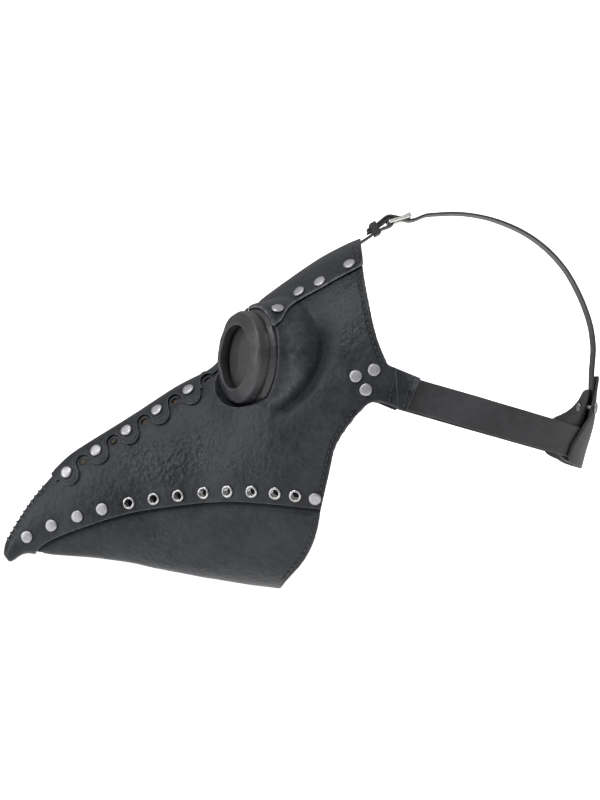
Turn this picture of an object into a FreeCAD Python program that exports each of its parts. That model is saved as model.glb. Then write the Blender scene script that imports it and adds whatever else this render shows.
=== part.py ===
import FreeCAD, Part
import math
import os

import Sketcher
from FreeCAD import Placement, Rotation, Vector

# Plague doctor mask: two moulded leather side panels meet along the ridge of a long beak, with a
# riveted jaw panel under them, goggle rings on moulded pods, and a buckled head harness.
# +X is the wearer's left, the beak points along -Y, +Z is up, and the origin lies midway
# between the two ear tabs, where the side strap turns.

doc = FreeCAD.newDocument("plague_doctor_mask")

# ---------------------------------------------------------------- driving dimensions (mm, degrees)

SIZES = {
    "leather": 2.0,             # side panels
    "jaw_leather": 2.0,
    "trim_leather": 1.7,        # ridge strip, forehead panel
    "lining_leather": 1.2,
    "layer_gap": 0.1,           # air between two layers
    "pod_radius": 43.0,         # crest of the moulded pod round an eye
    "ring_radius": 32.5,
    "ring_flare": 34.5,
    "ring_depth": 13.0,
    "eye_opening": 22.4,
    "lens_radius": 25.0,
    "ring_nose": 3.9,           # the opening's rim stands this far before the ring's datum plane
    "lens_depth": 3.6,          # from that plane back to the lens
    "lens_thick": 2.0,
    "spigot_radius": 28.5,
    "cap_radius": 4.3,
    "cap_thick": 1.2,
    "shank_radius": 1.6,
    "tail_radius": 3.0,
    "tail_thick": 0.8,
    "eyelet_radius": 4.2,
    "eyelet_bore": 2.2,
    "vent_radius": 2.7,         # breathing holes beside the ridge
    "strap_width": 22.5,
    "strap_thick": 1.6,
    "strap_slope": 16.0,        # the side strap falls towards the back of the head
    "head_half_width": 77.6,    # middle of the side strap, from the median plane
    "head_back": 136.5,         # middle of the side strap behind the ear tabs
    "top_width": 20.0,
    "top_thick": 1.6,
    "bar_radius": 1.3,          # buckle wire
    "buckle_length": 14.6,
    "buckle_width": 27.0,
    "prong_radius": 1.0,
}

sheet = doc.addObject("Spreadsheet::Sheet", "sizes")
for row, (alias, value) in enumerate(SIZES.items(), start=1):
    sheet.set("A%d" % row, alias)
    sheet.set("B%d" % row, str(value))
    sheet.setAlias("B%d" % row, alias)
doc.recompute()


def size(alias):
    return float(sheet.get(alias))


LEATHER = size("leather")
GAP = size("layer_gap")
TRIM_LOW = LEATHER + GAP
TRIM_HIGH = TRIM_LOW + size("trim_leather")
LINING_LOW = -GAP - size("lining_leather")
JAW_HIGH = -2 * GAP
JAW_LOW = JAW_HIGH - size("jaw_leather")

# ---------------------------------------------------------------- the mask's skin

# Ridge line and belly line in the median plane, as (y, z), from the beak's tip to the head.
RIDGE = [(-283.2, -115.6), (-280.6, -105), (-268.9, -85.6), (-261.2, -75.2), (-250.3, -62.4),
         (-233.4, -46), (-194.8, -21.4), (-156, 3.3), (-129.2, 19.4), (-104.5, 57.1), (-76.5, 79.8),
         (-43.8, 100.4), (-3.6, 116.5), (36, 127.3)]
BELLY = [(-283, -118.4), (-274, -115.4), (-265, -113.6), (-257, -115.4), (-248, -116.7),
         (-240, -117.2), (-201.6, -120.9), (-160, -129.5), (-105.8, -138.6), (-60, -143.5),
         (-10, -148)]
# Half width of the mask, as (share of the way from tip to head, half width).
WIDTHS = [(0, 3.2), (0.15, 11.5), (0.265, 20), (0.37, 28), (0.5, 40), (0.61, 55), (0.72, 68),
          (0.84, 76), (1, 79.5)]


def smooth(points, steps=24):
    """Points close together on a smooth curve through the given ones."""
    fine = []
    for i in range(len(points) - 1):
        before, here = points[max(i - 1, 0)], points[i]
        there, after = points[i + 1], points[min(i + 2, len(points) - 1)]
        for k in range(steps):
            s = k / steps
            fine.append(tuple(
                b + 0.5 * s * (c - a + s * (2 * a - 5 * b + 4 * c - d + s * (3 * (b - c) + d - a)))
                for a, b, c, d in zip(before, here, there, after)))
    return fine + [points[-1]]


def by_length(points):
    """Function giving the point at a share, 0 to 1, of the curve's length."""
    fine = smooth(points)
    marks = [0.0]
    for p, q in zip(fine, fine[1:]):
        marks.append(marks[-1] + math.dist(p, q))

    def at(share):
        goal = min(max(share, 0), 1) * marks[-1]
        i = max(k for k in range(len(marks) - 1) if marks[k] <= goal)
        f = (goal - marks[i]) / (marks[i + 1] - marks[i])
        return tuple(a + f * (b - a) for a, b in zip(fine[i], fine[i + 1]))
    return at


def by_first(points):
    """Function giving the second coordinate of the smooth curve at a first coordinate."""
    fine = smooth(points)

    def at(first):
        i = max((k for k in range(len(fine) - 1) if fine[k][0] <= first), default=0)
        (a, b), (c, d) = fine[i], fine[i + 1]
        return b + (d - b) * (first - a) / (c - a)
    return at


ridge_at, belly_at, width_at = by_length(RIDGE), by_length(BELLY), by_first(WIDTHS)


def skin(t, turn):
    """Point of the bare skin: t runs from tip to head, turn from 0 at the ridge to pi at the belly."""
    (y0, z0), (y1, z1) = ridge_at(t), belly_at(t)
    q = (1 - math.cos(turn)) / 2
    lean = 0.32 - 0.44 * t      # low-slung on the beak, widest at the ears on the face
    x = width_at(t) * math.sin(turn) * (1 + lean * (2 * q - 1))
    return Vector(x, y0 + q * (y1 - y0), z0 + q * (z1 - z0))


def skin_normal(t, turn):
    step = 0.004
    along = skin(min(t + step, 1), turn) - skin(max(t - step, 0), turn)
    round_ = skin(t, turn + step) - skin(t, turn - step)
    normal = along.cross(round_)
    if math.sin(turn) < 1e-6:
        normal.x = 0
    return normal.normalize() * (1 if normal.dot(Vector(math.sin(turn) + 1e-9, 0, math.cos(turn))) > 0
                                 else -1)


def at_side(y, z):
    """Point and outward normal of the bare skin where its left side shows at (y, z)."""
    low, high = 0.0, 1.0
    for _ in range(40):
        t = (low + high) / 2
        (y0, z0), (y1, z1) = ridge_at(t), belly_at(t)
        if (y1 - y0) * (z - z0) - (z1 - z0) * (y - y0) > 0:
            low = t
        else:
            high = t
    q = ((y - y0) * (y1 - y0) + (z - z0) * (z1 - z0)) / ((y1 - y0) ** 2 + (z1 - z0) ** 2)
    turn = math.acos(1 - 2 * min(max(q, 0), 1))
    return skin(t, turn), skin_normal(t, turn)


EYE_FRONT = Vector(46, -114.7, 25)          # centre of the left ring's front face
EYE_BACK = Vector(-0.47, 0.88, -0.05).normalize()
FLANK_SLOPE = 0.31                          # how the pod widens away from the ring
RIDGE_STEPS, TURN_STEPS = 30, 16
LINING_ROW, JAW_ROW = 3, 1                  # grid rows where the lining and the jaw panel may start


def half_horn(offset, first_row=0):
    """Solid left half of the mask, its skin moved out by offset, from a row of the grid on."""
    grid = []
    for i in range(first_row, RIDGE_STEPS + 1):
        t = i / RIDGE_STEPS
        grid.append([skin(t, math.pi * k / TURN_STEPS) +
                     skin_normal(t, math.pi * k / TURN_STEPS) * offset
                     for k in range(TURN_STEPS + 1)])
        grid[-1][0].x = grid[-1][-1].x = 0
    surface = Part.BSplineSurface()
    surface.interpolate(grid)
    u0, u1, v0, v1 = surface.bounds()
    ridge, belly = surface.vIso(v0).toShape(), surface.vIso(v1).toShape()
    tip, rear = surface.uIso(u0).toShape(), surface.uIso(u1).toShape()
    tip_chord = Part.makeLine(grid[0][0], grid[0][-1])
    rear_chord = Part.makeLine(grid[-1][0], grid[-1][-1])
    faces = [surface.toShape(),
             Part.Face(Part.Wire([ridge, rear_chord, belly, tip_chord])),
             Part.makeRuledSurface(tip, tip_chord),
             Part.makeRuledSurface(rear, rear_chord)]
    shell = Part.makeShell(faces)
    shell.sewShape()
    solid = Part.makeSolid(shell if shell.ShapeType == "Shell" else shell.Shells[0])
    if solid.Volume < 0:
        solid.reverse()
    return solid


def on_eye_axis(profile):
    """Solid turned about the left ring's axis from (radius, depth behind its front face) corners."""
    corners = [Vector(r, 0, depth) for r, depth in profile]
    face = Part.Face(Part.makePolygon(corners + corners[:1]))
    solid = face.revolve(Vector(0, 0, 0), Vector(0, 0, 1), 360)
    solid.Placement = Placement(EYE_FRONT, Rotation(Vector(0, 0, 1), EYE_BACK))
    return solid


def flank(depth, inset):
    """Radius of the pod's flank at a depth, for a layer that lies inset under the outer face."""
    rise = math.hypot(1, FLANK_SLOPE)
    return (size("pod_radius") - 6 - inset * rise
            + FLANK_SLOPE * (depth - size("ring_depth")))


def pod(offset):
    """Moulded cone that carries the ring, grown or shrunk like the skin."""
    inset = LEATHER - offset
    crest = size("pod_radius") - inset
    front = size("ring_depth") - 1 + inset
    return on_eye_axis([(0, front), (flank(front, inset) - 1.2, front),
                        (flank(front + 1.2, inset), front + 1.2), (flank(28, inset), 28),
                        (crest, 32), (crest + 0.4, 36), (crest + 0.6, 60), (0, 60)])


def well(offset):
    """Room in front of the pod's flange, where the ring sinks into the nose."""
    inset = LEATHER - offset
    floor = size("ring_depth") + inset
    radius = max(size("ring_flare") + 0.5 + inset, size("ring_flare") + 0.5)
    return on_eye_axis([(0, -30), (radius, -30), (radius, floor), (0, floor)])


def bulk(offset, first_row=0):
    """Everything under the given layer of the left half, pod included."""
    return half_horn(offset, first_row).fuse(pod(offset)).cut(well(offset))


def side_prism(outline, low=0.0, high=120.0):
    """Block that stands on a (y, z) outline, from x = low to x = high."""
    corners = [Vector(low, y, z) for y, z in outline]
    return Part.Face(Part.makePolygon(corners + corners[:1])).extrude(Vector(high - low, 0, 0))


def mirrored(shape):
    return shape.mirror(Vector(0, 0, 0), Vector(1, 0, 0))


def posts(places, radius, reach=12.0):
    """Drill for each (point, normal) place."""
    return [Part.makeCylinder(radius, 2 * reach, p - n * reach, n) for p, n in places]


# ---------------------------------------------------------------- outlines, seen from the side (y, z)

SEAM = smooth([(-262, -114.2), (-253.8, -107.6), (-235, -99), (-199.4, -87.1), (-169.9, -81.2),
               (-126, -76), (-94.1, -77.1), (-57.5, -80.6)], 4)
CHEEK = smooth([(-57.5, -80.6), (-52.1, -56.1), (-47.4, -36.5), (-36.9, -20), (-26.5, -8.6),
                (-19.5, -6)], 4)
TAB_LOW, TAB_END_LOW, TAB_END_HIGH, TAB_HIGH = (-13.5, -7.4), (0.4, -13.1), (10.4, 9.8), (-10.3, 18.5)
BROW = smooth([(-12, 19.2), (-19.5, 38.4), (-24.9, 64.8), (-27.9, 86), (-28.7, 104)], 4)
ABOVE = [(-29.2, 150), (-310, 150)]
JAW_BACK = smooth([(-57.5, -80.6), (-60.5, -97.4), (-68.5, -116.3), (-85.5, -139.5),
                   (-90, -160)], 4)

SIDE_OUTLINE = (SEAM + CHEEK[1:] + [TAB_LOW, TAB_END_LOW, TAB_END_HIGH, TAB_HIGH] + BROW + ABOVE
                + [(-310, -150), (-263, -150)])

JAW_TUCK = 13.0                 # how far the jaw panel reaches up under the side panels
HIDDEN_SEAM = [(y, z + JAW_TUCK) for y, z in SEAM if y > -240]
JAW_OUTLINE = ([(-262.5, -150), (-262.5, -112), (-254, -103), (-246, -95)] + HIDDEN_SEAM
               + [(-56.2, -74)] + JAW_BACK + [(-90, -170)])

LINING_OUTLINE = ([(-243, -90)] + [(y, z + JAW_TUCK + 1) for y, z in SEAM if y > -240 and y < -62]
                  + [(-54, -66)] + [p for p in CHEEK if p[1] > -64]
                  + [(-15.5, -6.5), (-14.5, 20.5)] + BROW[1:] + [(-29.2, 150), (-243, 150)])

# ---------------------------------------------------------------- rivet and eyelet places

RIDGE_PITCH = 0.0637            # shares of the ridge's length
RIDGE_FIRST = 0.1945
RIDGE_COUNT = 5
RIDGE_GIRTH, RIDGE_WIDENING = 11.5, 1.1     # girth from the ridge to the first rivet, and its growth


def below_ridge(t, girth):
    """Place on the left skin at a distance round the section from the ridge."""
    turn, walked = 0.0, 0.0
    while walked < girth:
        walked += (skin(t, turn + 0.01) - skin(t, turn)).Length
        turn += 0.01
    return skin(t, turn), skin_normal(t, turn)


jaw_row = by_first([(-270, -104.5), (-250, -95), (-213, -82.7), (-175, -74.8), (-122.5, -68.5),
                    (-88.9, -69), (-61.5, -72.4)])
JAW_RIVET_Y = [-267, -249, -230, -212, -61.5]
JAW_EYELET_Y = [-192.5, -174.6, -157.1, -138.8, -121.6, -104.9, -88.8, -75]

def on_pod(depth, angle):
    """Place on the pod's flank, at a depth behind the ring's face and an angle up from its outside."""
    outwards = (EYE_BACK.cross(Vector(0, 0, 1)).normalize() * math.cos(math.radians(angle))
                + Vector(0, 0, math.sin(math.radians(angle))))
    normal = (outwards - EYE_BACK * FLANK_SLOPE).normalize()
    return EYE_FRONT + EYE_BACK * depth + outwards * flank(depth, LEATHER), normal


RIDGE_PLACES = [below_ridge(RIDGE_FIRST + RIDGE_PITCH * k, RIDGE_GIRTH + RIDGE_WIDENING * k)
                for k in range(RIDGE_COUNT)]
HOLE_PLACES = [below_ridge(RIDGE_FIRST + RIDGE_PITCH * (k + 0.53), girth)
               for k, girth in enumerate((12, 13.1, 14.2, 15.2, 13))]
JAW_RIVET_PLACES = [at_side(y, jaw_row(y)) for y in JAW_RIVET_Y]
JAW_EYELET_PLACES = [at_side(y, jaw_row(y)) for y in JAW_EYELET_Y]
EAR_PLACES = [at_side(y, z) for y, z in ((-33.6, 11), (-21.2, 15.2), (-26.9, 1.8))]
FOREHEAD_PLACES = ([on_pod(20.2, 57)]
                   + [at_side(y, z) for y, z in ((-70.6, 68.6), (-56.4, 75.3), (-36.1, 87.4))])

# ---------------------------------------------------------------- features

parts = []                      # objects whose shapes are written, one file each


def keep(obj, label):
    obj.Label = label
    parts.append(obj)
    return obj


def computed(label, shape):
    """Free-form leather, which has no sketch or primitive of its own."""
    obj = doc.addObject("Part::Feature", label)
    obj.Shape = shape.removeSplitter() if shape.ShapeType != "Compound" else shape
    obj.Placement = Placement()
    return keep(obj, label)


def one_solid(shape):
    """The largest solid of a boolean's result."""
    return max(shape.Solids, key=lambda s: s.Volume)


# ---------------------------------------------------------------- leather panels and linings

NOTCH_HALF = size("top_width") / 2 + 0.8

side_outer = bulk(LEATHER)
side_inner = bulk(0)
side_drills = (posts(RIDGE_PLACES + JAW_RIVET_PLACES + EAR_PLACES + FOREHEAD_PLACES,
                     size("shank_radius") + GAP)
               + posts(JAW_EYELET_PLACES, size("eyelet_bore") + 1.0))
vents = posts(HOLE_PLACES, size("vent_radius"))     # through the leather, not the lining
flange_drill = on_eye_axis([(0, 5), (size("spigot_radius") + 0.3, 5),
                            (size("spigot_radius") + 0.3, 22), (0, 22)])

# The forehead strap's end lies in a notch of the side panels and linings, under the brow.
strap_notch = Part.makeBox(2 * NOTCH_HALF, 40, 60, Vector(-NOTCH_HALF, -52, 80))

side_left = side_outer.common(side_prism(SIDE_OUTLINE, GAP)).cut(
    [side_inner, flange_drill, strap_notch] + side_drills + vents)
side_left = one_solid(side_left)
computed("side_panel_left", side_left)
computed("side_panel_right", mirrored(side_left))

lining_left = one_solid(bulk(-GAP, LINING_ROW).common(side_prism(LINING_OUTLINE, GAP)).cut(
    [bulk(LINING_LOW, LINING_ROW), flange_drill, strap_notch] + side_drills))
computed("lining_left", lining_left)
computed("lining_right", mirrored(lining_left))

jaw_half = one_solid(half_horn(JAW_HIGH, JAW_ROW).common(side_prism(JAW_OUTLINE)).cut(
    [half_horn(JAW_LOW, JAW_ROW)] + side_drills))
computed("jaw_panel", jaw_half.fuse(mirrored(jaw_half)))

trim_outer, trim_inner = bulk(TRIM_HIGH), bulk(TRIM_LOW)

# Ridge strip, folded over the beak's ridge: a round lobe about each rivet, a scallop above each vent.
STRIP_NECK = 7.2                # girth from the ridge behind the last vent
LOBE_RADIUS = 7.8
SCALLOP_RADIUS = 5.6
STRIP_TAPER = 10.0              # the strip widens this much per rivet pitch before the first rivet


def strip_edge(t):
    """Girth of the ridge strip, without lobes and scallops, at a share of the ridge's length."""
    phase = (t - RIDGE_FIRST) / RIDGE_PITCH
    if phase > RIDGE_COUNT - 0.47:
        return STRIP_NECK
    return RIDGE_GIRTH + phase * (RIDGE_WIDENING if phase > 0 else STRIP_TAPER)


def side_discs(places, radius):
    """Cylinders across the left half, round places in the side view."""
    return [Part.makeCylinder(radius, 120, Vector(0, point.y, point.z), Vector(1, 0, 0))
            for point, normal in places]


strip_shares = [0.1615 + 0.0042 * k for k in range(97)]
strip_outline = [below_ridge(t, strip_edge(t))[0] for t in strip_shares]
strip_outline = [(p.y, p.z) for p in strip_outline]
strip_front = ridge_at(0.1545)
strip_outline = ([(strip_front[0] - 8, strip_front[1] + 14)] + strip_outline
                 + [(-108.6, 58), (-108.6, 90)])
ring_radius = size("ring_flare") + 0.6
ring_room = on_eye_axis([(0, -30), (ring_radius, -30), (ring_radius, 13.3), (0, 13.3)])
strip_prism = side_prism(strip_outline).fuse(side_discs(RIDGE_PLACES, LOBE_RADIUS))
strip_half = one_solid(trim_outer.common(strip_prism).cut(
    [trim_inner, ring_room] + side_drills + vents + side_discs(HOLE_PLACES, SCALLOP_RADIUS)))
computed("ridge_strip", strip_half.fuse(mirrored(strip_half)))

# Forehead panel: over the brow, from behind the rings to the back edge.
FOREHEAD_OUTLINE = ([(-108, 100), (-108.5, 56), (-97, 48), (-89.5, 46), (-84.5, 50)]
                    + smooth([(-81, 57.5), (-74.1, 64), (-58.1, 72.8), (-44.1, 80.7), (-27.6, 89.5)], 3)
                    + [(-28.6, 104), (-29, 150), (-108, 150)])
forehead_half = one_solid(trim_outer.common(side_prism(FOREHEAD_OUTLINE)).cut(
    [trim_inner, ring_room] + side_drills))
computed("forehead_panel", forehead_half.fuse(mirrored(forehead_half)))

# Ear tabs: an inner and an outer layer stitched round the strap's end.
TAB_INNER_TOP = -GAP - size("lining_leather") - 1.6
tab_inner_outline = [(-42, 16), (-42, -1), (-27, -5.5), TAB_LOW, TAB_END_LOW, TAB_END_HIGH, TAB_HIGH,
                     (-24, 21.5)]
tab_outer_outline = [(-5.5, -10.7), TAB_END_LOW, TAB_END_HIGH, (-7.5, 17)]


def ear_layer(low, high, outline):
    layer = half_horn(high).common(side_prism(outline, 30)).cut([half_horn(low)] + side_drills)
    return one_solid(layer)


tab_inner_left = ear_layer(TAB_INNER_TOP - 1.5, TAB_INNER_TOP, tab_inner_outline)
tab_outer_left = ear_layer(TRIM_LOW, TRIM_LOW + 1.2, tab_outer_outline)
computed("strap_tab_inner_left", tab_inner_left)
computed("strap_tab_inner_right", mirrored(tab_inner_left))
computed("strap_tab_outer_left", tab_outer_left)
computed("strap_tab_outer_right", mirrored(tab_outer_left))

# ---------------------------------------------------------------- goggle eyes


def plane_of(body, role):
    return next(f for f in body.Origin.OriginFeatures if f.Role == role)


def eye_placement(side):
    centre = Vector(side * EYE_FRONT.x, EYE_FRONT.y, EYE_FRONT.z)
    back = Vector(side * EYE_BACK.x, EYE_BACK.y, EYE_BACK.z)
    return Placement(centre, Rotation(Vector(0, 0, 1), back))


def turned_body(label, side, corners):
    """Body revolved about the eye's axis; corners are (radius, depth) pairs in the sheet's words."""
    body = doc.addObject("PartDesign::Body", label)
    sketch = body.newObject("Sketcher::SketchObject", label + "_profile")
    sketch.AttachmentSupport = [(plane_of(body, "XZ_Plane"), "")]
    sketch.MapMode = "FlatFace"
    number = len(corners)
    rough = [(10 + 5 * math.cos(2 * math.pi * k / number), 10 + 5 * math.sin(2 * math.pi * k / number))
             for k in range(number)]
    for k in range(number):
        a, b = rough[k], rough[(k + 1) % number]
        sketch.addGeometry(Part.LineSegment(Vector(*a, 0), Vector(*b, 0)))
    for k in range(number):
        sketch.addConstraint(Sketcher.Constraint("Coincident", k, 2, (k + 1) % number, 1))
    for k, (radius, depth) in enumerate(corners):
        for kind, words in (("DistanceX", radius), ("DistanceY", depth)):
            index = sketch.addConstraint(Sketcher.Constraint(kind, -1, 1, k, 1, 7.0))
            sketch.setExpression("Constraints[%d]" % index, words)
    turned = body.newObject("PartDesign::Revolution", label + "_turned")
    turned.Profile = sketch
    turned.ReferenceAxis = (sketch, ["V_Axis"])
    turned.Angle = 360
    body.Placement = eye_placement(side)
    return keep(body, label)


for name, side in (("left", 1), ("right", -1)):
    turned_body("eye_ring_" + name, side, [
        ("sizes.eye_opening", "-sizes.ring_nose"), ("sizes.eye_opening + 1", "-sizes.ring_nose"),
        ("sizes.ring_radius - 1", "-1.4"), ("sizes.ring_radius", "0"),
        ("sizes.ring_radius + 0.6", "sizes.ring_depth - 3"), ("sizes.ring_flare", "sizes.ring_depth - 2"),
        ("sizes.ring_flare", "sizes.ring_depth - 0.1"), ("sizes.spigot_radius", "sizes.ring_depth - 0.1"),
        ("sizes.spigot_radius", "sizes.ring_depth + 6"),
        ("sizes.lens_radius + 0.2", "sizes.ring_depth + 6"),
        ("sizes.lens_radius + 0.2", "sizes.lens_depth"), ("sizes.eye_opening", "sizes.lens_depth")])
    turned_body("lens_" + name, side, [
        ("0", "sizes.lens_depth + 0.05"), ("sizes.lens_radius", "sizes.lens_depth + 0.05"),
        ("sizes.lens_radius", "sizes.lens_depth + sizes.lens_thick"),
        ("0", "sizes.lens_depth + sizes.lens_thick")])
    turned_body("lens_retainer_" + name, side, [
        ("sizes.eye_opening + 0.2", "sizes.lens_depth + sizes.lens_thick + 0.1"),
        ("sizes.lens_radius + 0.1", "sizes.lens_depth + sizes.lens_thick + 0.1"),
        ("sizes.lens_radius + 0.1", "sizes.lens_depth + sizes.lens_thick + 2.6"),
        ("sizes.eye_opening + 0.2", "sizes.lens_depth + sizes.lens_thick + 2.6")])
    turned_body("eye_backing_ring_" + name, side, [
        ("sizes.spigot_radius + 0.1", "sizes.ring_depth + 3.6"),
        ("sizes.ring_radius - 1.5", "sizes.ring_depth + 3.6"),
        ("sizes.ring_radius - 1.5", "sizes.ring_depth + 5.6"),
        ("sizes.spigot_radius + 0.1", "sizes.ring_depth + 5.6")])

# ---------------------------------------------------------------- rivets and eyelets


def stand(point, normal, side, height):
    """Placement on the skin, at a height along its normal, local Z outwards."""
    p = point + normal * height
    return Placement(Vector(side * p.x, p.y, p.z),
                     Rotation(Vector(0, 0, 1), Vector(side * normal.x, normal.y, normal.z)))


def cylinder(name, radius, height, placement):
    obj = doc.addObject("Part::Cylinder", name)
    obj.setExpression("Radius", radius)
    obj.setExpression("Height", height)
    obj.Placement = placement
    return obj


def fused(name, shapes):
    obj = doc.addObject("Part::MultiFuse", name)
    obj.Shapes = shapes
    return obj


def rivet_group(label, side, places, low, high):
    """Two-part rivets through the layers between two heights above the bare skin."""
    rivets = []
    for k, (point, normal) in enumerate(places):
        name = "%s_%d" % (label, k)
        rivets.append(fused(name, [
            cylinder(name + "_cap", "sizes.cap_radius", "sizes.cap_thick",
                     stand(point, normal, side, high)),
            cylinder(name + "_shank", "sizes.shank_radius", "%f + 0.4" % (high - low),
                     stand(point, normal, side, low - 0.2)),
            cylinder(name + "_tail", "sizes.tail_radius", "sizes.tail_thick",
                     stand(point, normal, side, low - size("tail_thick")))]))
    group = doc.addObject("Part::Compound", label)
    group.Links = rivets
    return keep(group, label)


def eyelet_group(label, side, places, low, high):
    """Rolled metal eyelets: a barrel with a flange at each face."""
    eyelets = []
    for k, (point, normal) in enumerate(places):
        name = "%s_%d" % (label, k)
        body = fused(name + "_body", [
            cylinder(name + "_front", "sizes.eyelet_radius", "0.9", stand(point, normal, side, high)),
            cylinder(name + "_barrel", "sizes.eyelet_bore + 0.7", "%f + 0.4" % (high - low),
                     stand(point, normal, side, low - 0.2)),
            cylinder(name + "_back", "sizes.eyelet_radius - 0.8", "0.7",
                     stand(point, normal, side, low - 0.7))])
        cut = doc.addObject("Part::Cut", name)
        cut.Base = body
        cut.Tool = cylinder(name + "_bore", "sizes.eyelet_bore", "20",
                            stand(point, normal, side, -10))
        eyelets.append(cut)
    group = doc.addObject("Part::Compound", label)
    group.Links = eyelets
    return keep(group, label)


SEAT = 0.15                     # a flat cap stands this far off a curved face
ROOM = 0.75                     # a flat tail stays this far inside a hollow one
for name, side in (("left", 1), ("right", -1)):
    rivet_group("ridge_rivets_" + name, side, RIDGE_PLACES, LINING_LOW - ROOM, TRIM_HIGH + SEAT)
    rivet_group("forehead_rivets_" + name, side,
                FOREHEAD_PLACES, LINING_LOW - ROOM, TRIM_HIGH + SEAT)
    rivet_group("jaw_rivets_" + name, side, JAW_RIVET_PLACES, JAW_LOW - ROOM, LEATHER + SEAT)
    eyelet_group("jaw_eyelets_" + name, side, JAW_EYELET_PLACES, JAW_LOW - 0.4, LEATHER + SEAT)
    rivet_group("ear_rivets_" + name, side, EAR_PLACES, TAB_INNER_TOP - 1.6, LEATHER + SEAT)

# ---------------------------------------------------------------- side strap and back patch

SLOPE = Rotation(Vector(1, 0, 0), -size("strap_slope"))
STRAIGHT = 20.0                 # the strap runs straight from the tab to here, then bends
STRAP_START = -5.5


def strap_body():
    """Flat band round the back of the head, from ear tab to ear tab."""
    body = doc.addObject("PartDesign::Body", "side_strap")
    sketch = body.newObject("Sketcher::SketchObject", "side_strap_plan")
    sketch.AttachmentSupport = [(plane_of(body, "XY_Plane"), "")]
    sketch.MapMode = "FlatFace"
    half, bend = size("strap_thick") / 2, size("head_back") - STRAIGHT
    centre = Vector(0, STRAIGHT, 0)
    for edge in (half, -half):
        x, y = size("head_half_width") + edge, bend + edge
        ellipse = Part.Ellipse(centre + Vector(0, y, 0), centre + Vector(x, 0, 0), centre)
        sketch.addGeometry([Part.ArcOfEllipse(ellipse, -math.pi / 2, math.pi / 2),
                            Part.LineSegment(Vector(-x, STRAIGHT, 0), Vector(-x, STRAP_START, 0)),
                            Part.LineSegment(Vector(x, STRAP_START, 0), Vector(x, STRAIGHT, 0))])
    for sign in (-1, 1):
        x = sign * size("head_half_width")
        sketch.addGeometry(Part.LineSegment(Vector(x - half, STRAP_START, 0),
                                            Vector(x + half, STRAP_START, 0)))
    pad = body.newObject("PartDesign::Pad", "side_strap_pad")
    pad.Profile = sketch
    pad.setExpression("Length", "sizes.strap_width")
    body.Placement = Placement(SLOPE.multVec(Vector(0, 0, -size("strap_width") / 2)), SLOPE)
    return keep(body, "side_strap")


strap_body()

PATCH_FLAT, PATCH_TOP, PATCH_LEAN = 14.0, 52.0, 7.5


def patch_point(x, height, offset):
    """Point on the back of the head, offset outwards from the side strap's middle."""
    lean = PATCH_LEAN * (max(height - PATCH_FLAT, 0) / (PATCH_TOP - PATCH_FLAT)) ** 1.5
    a, b = size("head_half_width") + offset, size("head_back") - STRAIGHT + offset
    return SLOPE.multVec(Vector(x, STRAIGHT + b * math.sqrt(1 - (x / a) ** 2) - lean, height))


def patch_sheet(low, high, outline):
    """Leather flap between two offsets, cut to an (x, height) outline."""
    heights = [-20, -9, 3, 14, 24, 40, 60]
    faces = []
    for offset in (low, high):
        surface = Part.BSplineSurface()
        surface.interpolate([[patch_point(-56 + 8 * k, h, offset) for k in range(15)]
                             for h in heights])
        faces.append(surface.toShape())
    sides = [Part.makeRuledSurface(a, b) for a, b in zip(faces[0].Edges, faces[1].Edges)]
    shell = Part.makeShell(faces + sides)
    shell.sewShape()
    solid = Part.makeSolid(shell if shell.ShapeType == "Shell" else shell.Shells[0])
    corners = [SLOPE.multVec(Vector(x, 40, h)) for x, h in outline]
    block = Part.Face(Part.makePolygon(corners + corners[:1])).extrude(
        SLOPE.multVec(Vector(0, 160, 0)))
    return one_solid(solid.common(block))


def both_sides(half_outline):
    return half_outline + [(-x, h) for x, h in reversed(half_outline) if x > 0]


OUTER_FLAP = both_sides(smooth([(0, 51), (10.5, 49.5), (12, 42), (19, 34), (24, 27), (25, 21),
                                (30, 15), (36, 4), (39, -6), (37, -13), (28, -16), (0, -16.5)], 3))
INNER_FLAP = both_sides(smooth([(0, 40), (11, 38.5), (19, 31), (31, 21), (41, 13), (43, 2),
                                (40, -11), (28, -14.5), (0, -15)], 3))
FLAP = 1.8
FLAP_GAP = size("strap_thick") / 2 + 0.9    # from the side strap's middle to either flap
BACK_RIVETS = [(x, 27.0) for x in (-17, 17)]


def patch_place(x, height, offset):
    """Placement square to the patch and an offset out from it, local Z outwards."""
    across = patch_point(x + 0.5, height, 0) - patch_point(x - 0.5, height, 0)
    up = patch_point(x, height + 0.5, 0) - patch_point(x, height - 0.5, 0)
    normal = up.cross(across).normalize()
    return Placement(patch_point(x, height, 0) + normal * offset,
                     Rotation(Vector(0, 0, 1), normal))


back_drills = []
for x, h in BACK_RIVETS:
    drill = Part.makeCylinder(size("shank_radius") + GAP, 24)
    drill.Placement = patch_place(x, h, -12)
    back_drills.append(drill)
computed("back_patch_outer",
         patch_sheet(FLAP_GAP, FLAP_GAP + FLAP, OUTER_FLAP).cut(back_drills))
computed("back_patch_inner",
         patch_sheet(-FLAP_GAP - FLAP, -FLAP_GAP, INNER_FLAP).cut(back_drills))

rivets = []
for k, (x, h) in enumerate(BACK_RIVETS):
    name = "back_rivets_%d" % k
    low, high = -FLAP_GAP - FLAP - 0.3, FLAP_GAP + FLAP + SEAT
    rivets.append(fused(name, [
        cylinder(name + "_cap", "sizes.cap_radius", "sizes.cap_thick", patch_place(x, h, high)),
        cylinder(name + "_shank", "sizes.shank_radius", "%f + 0.4" % (high - low),
                 patch_place(x, h, low - 0.2)),
        cylinder(name + "_tail", "sizes.tail_radius + 1", "sizes.tail_thick",
                 patch_place(x, h, low - size("tail_thick")))]))
group = doc.addObject("Part::Compound", "back_rivets")
group.Links = rivets
keep(group, "back_rivets")

# ---------------------------------------------------------------- top strap and buckle

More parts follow.
